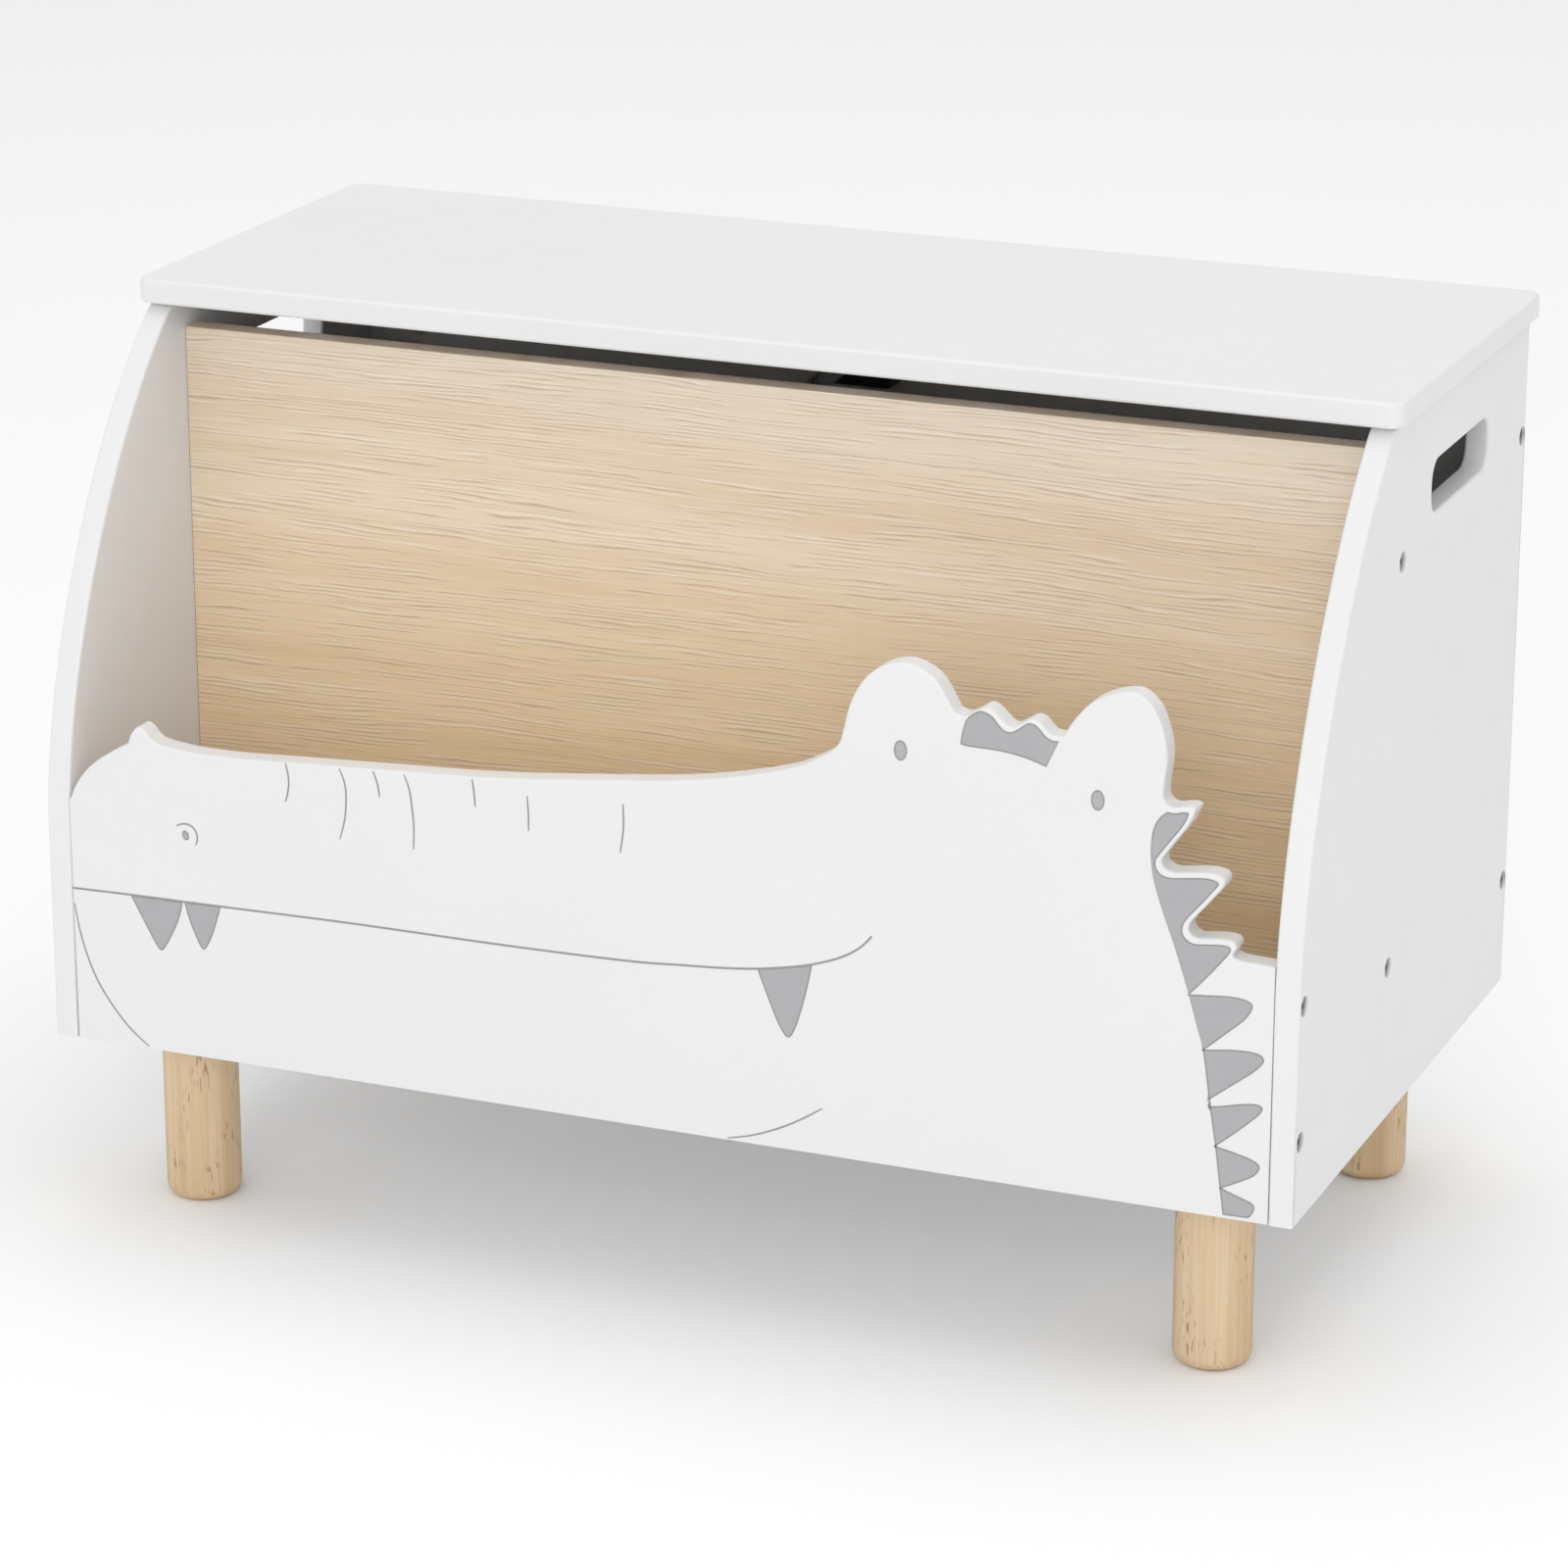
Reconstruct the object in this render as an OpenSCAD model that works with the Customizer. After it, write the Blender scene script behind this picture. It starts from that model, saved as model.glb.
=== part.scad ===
// Wooden toy box on four round legs, with a crocodile-head front panel.
// A book pocket lies behind the head, and a toy compartment under the hinged lid.
// Millimetres, +Z up, -Y is the front. The origin is on the floor, in the middle of the footprint.

/* [Overall] */
// Width over the two side boards
body_width = 780; // [640:5:940]
// Depth from the side boards' front edges to the back panel's outer face
body_depth = 426; // [380:2:520]
// Height of the side boards
side_height = 420; // [360:1:500]
// Height of the legs under the box
leg_height = 114; // [70:2:180]

/* [Boards] */
// Thickness of the side boards, divider, back and bottom
board = 15; // [13:0.5:18]
// Thickness of the crocodile panel
front_board = 15; // [13:0.5:18]
// Thickness of the lid
lid_board = 15; // [13:0.5:18]
// Gap at each end of a panel between the side boards
seam = 0.2; // [0.1:0.05:0.4]
// Distance of the crocodile panel behind the side boards' front edges
front_setback = 0.5; // [0.2:0.1:2]

/* [Lid] */
// Depth of the lid, front to back
lid_depth = 293.5; // [255:0.5:330]
// How far the lid stands out past each side board
lid_side_overhang = 5.5; // [0:0.5:12]
// How far the lid stands out past the back panel
lid_rear_overhang = 6.5; // [3:0.5:9]
// How far the lid's front edge stands in front of the side boards' top corners
lid_front_overhang = 7.5; // [2:0.5:15]
// How far the lid's front edge stands in front of the divider
finger_overhang = 23.5; // [15:0.5:35]
// Height of the finger gap between the divider and the lid
finger_gap = 18; // [12:0.5:25]
// Corner radius of the lid, seen from above
lid_corner_r = 10; // [3:1:20]
// Space that the bumpers hold between the boards and the lid
lid_clearance = 1.5; // [1.5:0.1:2.5]

/* [Side boards] */
// Height at which the front edge starts to curve back
curve_start = 132; // [115:1:155]
// Length of the curve's lower handle
curve_lower = 90; // [70:1:105]
// Length of the curve's upper handle
curve_upper = 103; // [80:1:115]
// Lean of the curve at the top, from vertical
curve_lean = 51.5; // [40:0.5:60]
// Length of the hand hole
hand_hole_length = 118; // [90:1:135]
// Height of the hand hole
hand_hole_height = 31; // [25:1:38]
// Corner radius of the hand hole
hand_hole_r = 12; // [5:0.5:12]
// Distance from the hand hole's middle to the top of the side board
hand_hole_drop = 54; // [42:1:62]
// Distance from the hand hole's middle to the back of the box
hand_hole_back = 142; // [115:1:160]

/* [Crocodile panel] */
// Height of the crocodile's brows above the panel's lower edge
brow_height = 299.5; // [260:0.5:320]

/* [Legs] */
// Diameter of a leg
leg_d = 46; // [38:1:52]
// Rounding at the foot of a leg
leg_foot_r = 8; // [3:1:12]
// Distance of a leg's axis from the end of the box
leg_from_end = 64.5; // [55:0.5:80]
// Distance of a front leg's axis from the front of the box
leg_from_front = 60.5; // [50:0.5:75]
// Distance of a rear leg's axis from the back of the box
leg_from_back = 58.5; // [50:0.5:75]

/* [Fixings] */
// Diameter of the connector bolts
bolt_d = 6; // [5:0.5:6]
// Length of a connector bolt under its head
bolt_length = 50; // [45:1:55]
// Diameter of a connector bolt's head
bolt_head_d = 11.4; // [10:0.1:11.4]
// Thickness of a connector bolt's head
bolt_head_h = 2.2; // [1.5:0.1:2.5]
// Diameter of the recess around a bolt head
recess_d = 12; // [12:0.5:14]
// Depth of a bolt recess
recess_depth = 3.7; // [3:0.1:4.5]
// Diameter of a barrel nut
nut_d = 10; // [9:0.5:11]
// Length of a barrel nut
nut_length = 12; // [10:0.5:12]
// Diameter of the wooden dowels
dowel_d = 8; // [6:0.5:8]
// Length of the wooden dowels
dowel_length = 30; // [28:1:34]
// Depth of a dowel in a side board
dowel_in_side = 10; // [8:0.5:11]
// Diameter of a leg's hanger bolt
hanger_d = 8; // [6:0.5:8]
// Depth of a hanger bolt in its leg
hanger_in_leg = 38; // [25:1:45]

/* [Hinges] */
// Distance of each hinge from the middle of the lid
hinge_x = 255; // [180:5:290]
// Length of a hinge
hinge_length = 60; // [50:1:80]
// Width of a hinge leaf from the pin
hinge_leaf = 24; // [22:0.5:30]
// Thickness of a hinge leaf
leaf_t = 1.3; // [1:0.1:1.3]
// Outer radius of a hinge knuckle
knuckle_r = 3; // [2.8:0.1:3.2]
// Diameter of a hinge pin
hinge_pin_d = 3; // [2.5:0.1:3.2]

/* [Lid stay] */
// Sideways place of the stay's lower arm
stay_x = -10; // [-60:1:60]
// Forward reach of the lower arm
stay_run = 120; // [100:1:130]
// Fall of the lower arm over its length, with the lid shut
stay_fall = 9; // [8:0.5:11]
// Rise of the upper arm, which equals the housing pivot's depth below the hinge
stay_rise = 35; // [32:0.5:40]
// Thickness of the lower arm
lower_arm_t = 3; // [2:0.1:3]
// Thickness of the upper arm
upper_arm_t = 2.5; // [2:0.1:3]
// Half width of the lower arm
lower_arm_r = 7; // [6:0.5:7.5]
// Half width of the upper arm
upper_arm_r = 6; // [5:0.5:6.5]

/* [Hidden] */

$fn = 32;
eps = 0.01;
over = 1;                 // how far a cut runs past the face that it opens
run_clear = 0.05;         // radial play of a pin that turns
arm_gap = 0.3;            // sideways play between moving arms
slide_clear = 0.1;        // play of a part dropped into its hole
bolt_clear = 0.3;         // radial play of a connector bolt in its bore
bore_spare = 0.5;         // depth that a dowel hole has beyond its dowel

paint = [0.93, 0.93, 0.94];
oak = [0.80, 0.66, 0.47];
pine = [0.80, 0.63, 0.40];
steel = [0.72, 0.72, 0.74];
dark_steel = [0.22, 0.22, 0.23];
black_plastic = [0.06, 0.06, 0.07];

// Main planes; the footprint reaches to the lid's rear edge or to the hinge barrels
barrel_gap = 0.3;
rear_reach = max(lid_rear_overhang, 2 * knuckle_r + barrel_gap);
front_y = -(body_depth + rear_reach) / 2;
back_y = front_y + body_depth;
back_in = back_y - board;
floor_z = leg_height;
side_top = floor_z + side_height;
lid_under = side_top + lid_clearance;
inner_x = body_width / 2 - board;
panel_x = inner_x - seam;
lid_front = back_y + lid_rear_overhang - lid_depth;
side_corner_y = lid_front + lid_front_overhang;
divider_y = lid_front + finger_overhang;
croc_y = front_y + front_setback;
croc_back = croc_y + front_board;

// Panels fixed with bolts: middle plane, bolt heights and dowel heights above the box's lower edge
croc_mid = croc_y + front_board / 2;
divider_mid = divider_y + board / 2;
back_mid = back_y - board / 2;
croc_bolts = [49, 129];
divider_bolts = [96, side_height - 82];
back_bolts = [68, side_height - 70];
croc_dowels = [89];
divider_dowels = [165, 265];
back_dowels = [145, 250];
bottom_dowels = [front_y + 80, divider_mid + 50, back_in - 65];
bolt_places = concat([for (z = croc_bolts) [croc_mid, z]], [for (z = divider_bolts) [divider_mid, z]],
    [for (z = back_bolts) [back_mid, z]]);
dowel_places = concat([for (z = croc_dowels) [croc_mid, z]], [for (z = divider_dowels) [divider_mid, z]],
    [for (z = back_dowels) [back_mid, z]], [for (y = bottom_dowels) [y, board / 2]]);
nut_in_panel = recess_depth + bolt_length - board - nut_d / 2 + bolt_clear;
bolt_end_spare = 2;
socket_d = 4.6;
socket_depth = 1.5;
leg_places = [[-1, front_y + leg_from_front], [1, front_y + leg_from_front],
    [-1, back_y - leg_from_back], [1, back_y - leg_from_back]];
leg_x = body_width / 2 - leg_from_end;
insert_r = 5;
insert_flange_r = 10;
insert_flange_t = 1.5;
insert_length = board - 3;

// Screws through the back panel into the bottom panel
bottom_screw_x = [-0.3 * body_width, 0, 0.3 * body_width];
bottom_screw_length = 40;
bottom_screw_r = 2;
bottom_screw_head_r = 3.8;
bottom_screw_sunk = 1.8;

// Lid bumpers
bumper_r = 4;
bumper_from_corner = 22;
bumper_from_back = 30;

// Hinge axis, just behind the back panel and just under the lid
hinge_y = back_y + knuckle_r + barrel_gap;
hinge_z = lid_under - knuckle_r - barrel_gap;
knuckle = hinge_length / 3;
knuckle_gap = 0.2;
knuckle_clear = 0.4;
leaf_screws = [-20, 0, 20];
leaf_screw_in = 17.5;
leaf_screw_step = 6;
leaf_screw_r = 1.5;
leaf_screw_head_r = 2.8;
leaf_screw_length = 12;
leaf_sink = 2;

// Lid stay: a parallelogram of the hinge, the housing pivot, the knee and the lid pivot
stay_pivot = [back_in - 17, hinge_z - stay_rise];
stay_lid = [hinge_y - stay_run, hinge_z - stay_fall];
stay_knee = [stay_pivot[0] - stay_run, stay_pivot[1] - stay_fall];
stay_pin_r = 3;
knee_r = 2.5;
lid_pin_r = 2.3;
open_pivot_r = 2.6;
eye_step = 1;
washer_t = 0.4;
slot_half = lower_arm_t / 2 + washer_t + slide_clear;
upper_x = stay_x + lower_arm_t / 2 + arm_gap;
ear_x = upper_x + upper_arm_t + arm_gap;
ear_t = 2;
bracket_t = leaf_t;
bracket_w = 34;
bracket_l = 16;
housing_left = stay_x - 37;
housing_right = stay_x + 7;
housing_depth = 30;
housing_top = stay_pivot[1] + 20;
housing_low = stay_pivot[1] - 34;
housing_mid = (housing_top + housing_low) / 2;
slot_back_wall = 5;
slot_low = 2.5;
pivot_pin_reach = 24;
flange_t = 3;
flange_out = 12;
flange_high = 42;
housing_screw_r = 1.75;
housing_screw_head_r = 3.4;
housing_screw_head_h = 2;
housing_screw_length = 11;
housing_screw_places = [for (x = [housing_left - flange_out / 2, housing_right + flange_out / 2],
    z = [-1, 1]) [x, housing_mid + z * (flange_high / 2 - 7)]];
bracket_screw_x = [ear_x + ear_t + 9, ear_x + bracket_w - 6];
rivet_head_h = 1.2;

// Crocodile outline at its drawn size: x from the middle, z from the panel's lower edge.
// Each list is one smooth stretch, and neighbouring stretches meet in a corner.
art_half = 375;
art_brow = 288;
art_end = 146;
croc_stretches = [
    [[-375, 145], [-372.6, 151], [-369.6, 156.4], [-363.6, 164.1], [-354.4, 172.1], [-341.3, 180],
        [-334, 183.8]],
    [[-334, 183.8], [-333.2, 187], [-331.2, 190.8], [-327.1, 194.6], [-322.4, 192.8], [-319, 188.9],
        [-314.4, 186.3], [-306, 185], [-291, 183.7], [-264, 183.8], [-224, 185.9], [-164, 189],
        [-99, 192.6], [-37, 198.7], [31, 207.1], [83, 218.9], [106.6, 229.4], [117, 237.2],
        [120.3, 246], [124.3, 261], [131, 273.8], [141.2, 283.2], [155, 288], [167, 285.7],
        [177, 278.9], [186.4, 264]],
    [[186.4, 264], [191.7, 262.3], [198.1, 265.1], [204.5, 268.8], [209.6, 267.1], [214.2, 263.1],
        [218.2, 259.9], [221.4, 259.7], [226.1, 262.4], [231.7, 265.4], [236.6, 264.2], [240, 260.8],
        [243.6, 258.1], [250, 257.8]],
    [[250, 257.8], [255.8, 267.2], [265.9, 278.3], [278.8, 284.9], [291, 286.9], [298.6, 283.2],
        [304.1, 276.5], [308.5, 265.1], [310.4, 252.9], [308.7, 237.4], [308.6, 231.9]],
    [[308.6, 231.9], [309.5, 229.5], [311.7, 227.5], [314.9, 226.8], [320.6, 227.9], [324.7, 228.2],
        [326.7, 227.3], [326.9, 225.4], [323.1, 217.5], [314.9, 206.5], [310.3, 200.1], [308.5, 197.1],
        [309.1, 193.9], [311.7, 191.9], [315.6, 191.1], [323.1, 191.9], [333.7, 193.2], [340.2, 192.8],
        [343.6, 191.5], [344.9, 189.2], [344.1, 186.2], [340.2, 181.3], [333.7, 173.7], [327.2, 166.2],
        [325.1, 162.8], [325, 159.7], [327.1, 157.3], [330.1, 156.2], [334.5, 156.6], [340.2, 157.3],
        [346.7, 157.5], [350.7, 156.7], [352.4, 154.8], [352.3, 152.4], [350.7, 150.1], [351.4, 147.9],
        [355.6, 146.8], [362.9, 146.4], [375, 146]]
];
curve_steps = 4;

// Catmull-Rom curve through a list of points
function at(p, i) = p[max(0, min(len(p) - 1, i))];
function blend(a, b, c, d, t) = b + 0.5 * t * ((c - a) + t * ((2 * a - 5 * b + 4 * c - d)
    + t * (3 * (b - c) + d - a)));
function smooth(p) = [for (i = [0:len(p) - 2], k = [0:curve_steps - 1])
    blend(at(p, i - 1), p[i], p[i + 1], at(p, i + 2), k / curve_steps)];
// Cubic Bezier curve
function bezier(a, b, c, d, t) = pow(1 - t, 3) * a + 3 * pow(1 - t, 2) * t * b
    + 3 * (1 - t) * t * t * c + t * t * t * d;

// Cylinder along X between x0 and x1
module rod_x(y, z, r, x0, x1) {
    translate([x0, y, z]) rotate([0, 90, 0]) cylinder(r = r, h = x1 - x0);
}

// Cylinder along Y between y0 and y1
module rod_y(x, z, r, y0, y1) {
    translate([x, y0, z]) rotate([-90, 0, 0]) cylinder(r = r, h = y1 - y0);
}

// Box between two opposite corners
module box(a, b) {
    translate(a) cube(b - a);
}

// Same shape on the right and mirrored on the left
module both_sides() {
    children();
    mirror([1, 0, 0]) children();
}

// ---- side boards ----

module side_outline() {
    corner = side_corner_y;
    p0 = [front_y, floor_z + curve_start];
    p1 = p0 + [0, curve_lower];
    p3 = [corner, side_top];
    p2 = p3 - curve_upper * [sin(curve_lean), cos(curve_lean)];
    turn = bezier(p0, p1, p2, p3, 0.97);
    steps = 40;
    polygon(concat([[front_y, floor_z]], [for (k = [0:steps]) bezier(p0, p1, p2, p3, 0.97 * k / steps)],
        [for (k = [1:4]) bezier(turn, p3, p3, [corner + 4, side_top], k / 4)],
        [[back_y, side_top], [back_y, floor_z]]));
}

module hand_hole() {
    y_mid = back_y - hand_hole_back;
    z_mid = side_top - hand_hole_drop;
    half_y = hand_hole_length / 2;
    half_z = hand_hole_height / 2;
    x0 = inner_x - over;
    x1 = body_width / 2 + over;
    in_y = half_y - hand_hole_r;
    in_z = half_z - hand_hole_r;
    box([x0, y_mid - half_y, z_mid - in_z], [x1, y_mid + half_y, z_mid + in_z]);
    box([x0, y_mid - in_y, z_mid - half_z], [x1, y_mid + in_y, z_mid + half_z]);
    for (a = [-1, 1], b = [-1, 1])
        rod_x(y_mid + a * in_y, z_mid + b * in_z, hand_hole_r, x0, x1);
}

module side_board_right() {
    outer = body_width / 2;
    color(paint) difference() {
        translate([inner_x, 0, 0]) rotate([90, 0, 90]) linear_extrude(board) side_outline();
        hand_hole();
        for (p = bolt_places) {
            rod_x(p[0], floor_z + p[1], bolt_d / 2 + bolt_clear, inner_x - over, outer);
            rod_x(p[0], floor_z + p[1], recess_d / 2, outer - recess_depth, outer + over);
        }
        for (p = dowel_places)
            rod_x(p[0], floor_z + p[1], dowel_d / 2, inner_x - over, inner_x + dowel_in_side + bore_spare);
    }
}

module side_board_left() {
    mirror([1, 0, 0]) side_board_right();
}

// ---- panels between the side boards ----

// Bores in both ends of a panel, and the barrel nut holes from one face
module end_bores(mid, bolts, dowels, nut_from, nut_to) {
    both_sides() {
        for (z = bolts) {
            rod_x(mid, floor_z + z, bolt_d / 2 + bolt_clear,
                panel_x - nut_in_panel - nut_d / 2 - bolt_end_spare, panel_x + over);
            rod_y(inner_x - nut_in_panel, floor_z + z, nut_d / 2 + slide_clear, nut_from, nut_to);
        }
        for (z = dowels)
            rod_x(mid, floor_z + z, dowel_d / 2, inner_x - dowel_length + dowel_in_side - bore_spare,
                panel_x + over);
    }
}

module crocodile_front_panel() {
    stretch_x = panel_x / art_half;
    stretch_z = brow_height / art_brow;
    top = [for (s = croc_stretches) each smooth(s)];
    outline = concat([for (p = top) [p[0] * stretch_x, p[1] * stretch_z]],
        [[panel_x, art_end * stretch_z], [panel_x, 0], [-panel_x, 0]]);
    color(paint) difference() {
        translate([0, croc_back, floor_z]) rotate([90, 0, 0]) linear_extrude(front_board) polygon(outline);
        end_bores(croc_mid, croc_bolts, croc_dowels, croc_mid - nut_length / 2 - slide_clear,
            croc_back + over);
    }
}

module divider_panel() {
    color(oak) difference() {
        box([-panel_x, divider_y, floor_z + board], [panel_x, divider_y + board, lid_under - finger_gap]);
        end_bores(divider_mid, divider_bolts, divider_dowels,
            divider_mid - nut_length / 2 - slide_clear, divider_y + board + over);
    }
}

module back_panel() {
    color(paint) difference() {
        box([-panel_x, back_in, floor_z], [panel_x, back_y, side_top]);
        end_bores(back_mid, back_bolts, back_dowels, back_in - over, back_mid + nut_length / 2 + slide_clear);
        for (x = bottom_screw_x) {
            rod_y(x, floor_z + board / 2, bottom_screw_r, back_in - over, back_y);
            rod_y(x, floor_z + board / 2, bottom_screw_head_r, back_y - bottom_screw_sunk, back_y + over);
            translate([x, back_y - bottom_screw_sunk, floor_z + board / 2]) rotate([90, 0, 0])
                sink(bottom_screw_head_r, bottom_screw_head_r - bottom_screw_r);
        }
        for (side = [-1, 1], k = [0:2])
            rod_y(side * hinge_x + leaf_screws[k], leaf_screw_z(k), leaf_screw_r,
                back_y - leaf_screw_length + 1, back_y + over);
        for (p = housing_screw_places)
            rod_y(p[0], p[1], housing_screw_r, back_in - over, back_in + housing_screw_length + 1);
    }
}

module bottom_panel() {
    color(paint) difference() {
        box([-panel_x, croc_back, floor_z], [panel_x, back_in, floor_z + board]);
        both_sides() for (y = bottom_dowels)
            rod_x(y, floor_z + board / 2, dowel_d / 2, inner_x - dowel_length + dowel_in_side - bore_spare,
                panel_x + over);
        for (p = leg_places) translate([p[0] * leg_x, p[1], floor_z]) {
            translate([0, 0, -over]) cylinder(r = insert_r, h = board + 2 * over);
            translate([0, 0, board - insert_flange_t])
                cylinder(r = insert_flange_r, h = insert_flange_t + over);
        }
        for (x = bottom_screw_x)
            rod_y(x, floor_z + board / 2, bottom_screw_r,
                back_y - bottom_screw_sunk - bottom_screw_length - 1, back_in + over);
    }
}

// ---- lid ----

module lid_panel() {
    half = body_width / 2 + lid_side_overhang;
    rear = back_y + lid_rear_overhang;
    top = lid_under + lid_board;
    color(paint) difference() {
        union() {
            box([-half + lid_corner_r, lid_front, lid_under], [half - lid_corner_r, rear, top]);
            box([-half, lid_front + lid_corner_r, lid_under], [half, rear - lid_corner_r, top]);
            for (x = [-1, 1], y = [lid_front + lid_corner_r, rear - lid_corner_r])
                translate([x * (half - lid_corner_r), y, lid_under])
                    cylinder(r = lid_corner_r, h = lid_board);
        }
        for (side = [-1, 1], k = [0:2])
            translate([side * hinge_x + leaf_screws[k], leaf_screw_y(k), lid_under - over])
                cylinder(r = leaf_screw_r, h = leaf_screw_length);
        for (x = bracket_screw_x)
            translate([x, stay_lid[0], lid_under - over]) cylinder(r = leaf_screw_r, h = leaf_screw_length);
    }
}

module lid_bumpers() {
    x = body_width / 2 - board / 2;
    y_places = [side_corner_y + bumper_from_corner, back_y - bumper_from_back];
    color([0.85, 0.87, 0.88]) for (side = [-1, 1], y = y_places)
        translate([side * x, y, side_top]) cylinder(r = bumper_r, h = lid_clearance - slide_clear);
}

// ---- hinges ----

// The middle screw of a leaf stands nearer the pin than the outer two
function leaf_screw_z(k) = hinge_z - leaf_screw_in + (k == 1 ? leaf_screw_step : 0);
function leaf_screw_y(k) = hinge_y - leaf_screw_in + (k == 1 ? leaf_screw_step : 0);

// Cone that a countersunk head leaves, mouth at z = 0 and point upwards
module sink(r, depth) {
    cylinder(r1 = r, r2 = r - depth, h = depth);
}

module body_leaf(x) {
    color(steel) difference() {
        union() {
            difference() {
                box([x - hinge_length / 2, back_y, hinge_z - hinge_leaf],
                    [x + hinge_length / 2, back_y + leaf_t, hinge_z]);
                box([x - knuckle / 2 - knuckle_gap, back_y - over, hinge_z - knuckle_r - knuckle_clear],
                    [x + knuckle / 2 + knuckle_gap, back_y + leaf_t + over, hinge_z + over]);
            }
            for (s = [-1, 1])
                rod_x(hinge_y, hinge_z, knuckle_r, x + s * knuckle - knuckle / 2,
                    x + s * knuckle + knuckle / 2);
        }
        rod_x(hinge_y, hinge_z, hinge_pin_d / 2, x - hinge_length, x + hinge_length);
        for (k = [0:2]) translate([x + leaf_screws[k], back_y + leaf_t, leaf_screw_z(k)])
            rotate([90, 0, 0]) sink(leaf_screw_head_r, leaf_sink);
    }
}

module lid_leaf(x) {
    width = knuckle - 2 * knuckle_gap;
    color(steel) difference() {
        union() {
            difference() {
                box([x - hinge_length / 2, hinge_y - hinge_leaf, lid_under - leaf_t],
                    [x + hinge_length / 2, hinge_y, lid_under]);
                for (s = [-1, 1])
                    box([x + s * knuckle - knuckle / 2 - (s > 0 ? knuckle_gap : over),
                        hinge_y - knuckle_r - knuckle_clear, lid_under - leaf_t - over],
                        [x + s * knuckle + knuckle / 2 + (s < 0 ? knuckle_gap : over), hinge_y + over,
                        lid_under + over]);
            }
            rod_x(hinge_y, hinge_z, knuckle_r, x - width / 2, x + width / 2);
        }
        rod_x(hinge_y, hinge_z, hinge_pin_d / 2 + run_clear, x - hinge_length, x + hinge_length);
        for (k = [0:2]) translate([x + leaf_screws[k], leaf_screw_y(k), lid_under - leaf_t])
            sink(leaf_screw_head_r, leaf_sink);
    }
}

module hinge_pin(x) {
    color(steel) rod_x(hinge_y, hinge_z, hinge_pin_d / 2, x - hinge_length / 2, x + hinge_length / 2);
}

module hinge_left_body_leaf() { body_leaf(-hinge_x); }
module hinge_right_body_leaf() { body_leaf(hinge_x); }
module hinge_left_lid_leaf() { lid_leaf(-hinge_x); }
module hinge_right_lid_leaf() { lid_leaf(hinge_x); }
module hinge_left_pin() { hinge_pin(-hinge_x); }
module hinge_right_pin() { hinge_pin(hinge_x); }

// Countersunk wood screw, driven along +Z from a head that is flush with z = 0
module sunk_screw(r, length, head_r) {
    head_h = head_r - r;
    difference() {
        union() {
            cylinder(r1 = head_r, r2 = r, h = head_h);
            cylinder(r = r, h = length - r);
            translate([0, 0, length - r]) cylinder(r1 = r, r2 = 0.2, h = r);
        }
        for (a = [0, 90]) rotate([0, 0, a])
            box([-head_r * 0.6, -0.35, -1], [head_r * 0.6, 0.35, head_h * 0.6]);
    }
}

module hinge_body_screws() {
    color(steel) for (side = [-1, 1], k = [0:2])
        translate([side * hinge_x + leaf_screws[k], back_y + leaf_t, leaf_screw_z(k)])
            rotate([90, 0, 0]) sunk_screw(leaf_screw_r, leaf_screw_length, leaf_screw_head_r);
}

module hinge_lid_screws() {
    color(steel) for (side = [-1, 1], k = [0:2])
        translate([side * hinge_x + leaf_screws[k], leaf_screw_y(k), lid_under - leaf_t])
            sunk_screw(leaf_screw_r, leaf_screw_length, leaf_screw_head_r);
}

// ---- lid stay ----

module stay_housing() {
    color(black_plastic) difference() {
        union() {
            box([housing_left, back_in - housing_depth, housing_low], [housing_right, back_in, housing_top]);
            box([housing_left - flange_out, back_in - flange_t, housing_mid - flange_high / 2],
                [housing_right + flange_out, back_in, housing_mid + flange_high / 2]);
        }
        box([stay_x - slot_half, back_in - housing_depth - over, stay_pivot[1] - lower_arm_r - slot_low],
            [stay_x + slot_half, back_in - slot_back_wall, housing_top + over]);
        rod_x(stay_pivot[0], stay_pivot[1], stay_pin_r, stay_x - pivot_pin_reach, housing_right + over);
        for (p = housing_screw_places)
            rod_y(p[0], p[1], housing_screw_r, back_in - flange_t - over, back_in + over);
    }
}

module stay_housing_screws() {
    face = back_in - flange_t;
    head = face - housing_screw_head_h;
    color(dark_steel) for (p = housing_screw_places) difference() {
        union() {
            rod_y(p[0], p[1], housing_screw_head_r, head, face);
            rod_y(p[0], p[1], housing_screw_r, face - eps, back_in + housing_screw_length);
        }
        for (a = [[2, 0.4], [0.4, 2]])
            box([p[0] - a[0], head - over, p[1] - a[1]], [p[0] + a[0], head + 1, p[1] + a[1]]);
    }
}

module stay_pivot_pin() {
    color(steel) union() {
        rod_x(stay_pivot[0], stay_pivot[1], stay_pin_r, stay_x - pivot_pin_reach, housing_right);
        rod_x(stay_pivot[0], stay_pivot[1], stay_pin_r + 2, housing_right, housing_right + 1.5);
    }
}

module stay_friction_washers() {
    color(steel) for (s = [-1, 1]) {
        x = stay_x + s * (slot_half - washer_t / 2);
        difference() {
            rod_x(stay_pivot[0], stay_pivot[1], lower_arm_r, x - washer_t / 2, x + washer_t / 2);
            rod_x(stay_pivot[0], stay_pivot[1], stay_pin_r, x - 1, x + 1);
        }
    }
}

// Flat bar with a round eye at each end; the bar is a little narrower than the eyes
module arm(p, q, r, x, t) {
    d = q - p;
    half = r - eye_step;
    rod_x(p[0], p[1], r, x, x + t);
    rod_x(q[0], q[1], r, x, x + t);
    translate([x, p[0], p[1]]) rotate([atan2(d[1], d[0]), 0, 0])
        translate([0, 0, -half]) cube([t, norm(d), 2 * half]);
}

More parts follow.
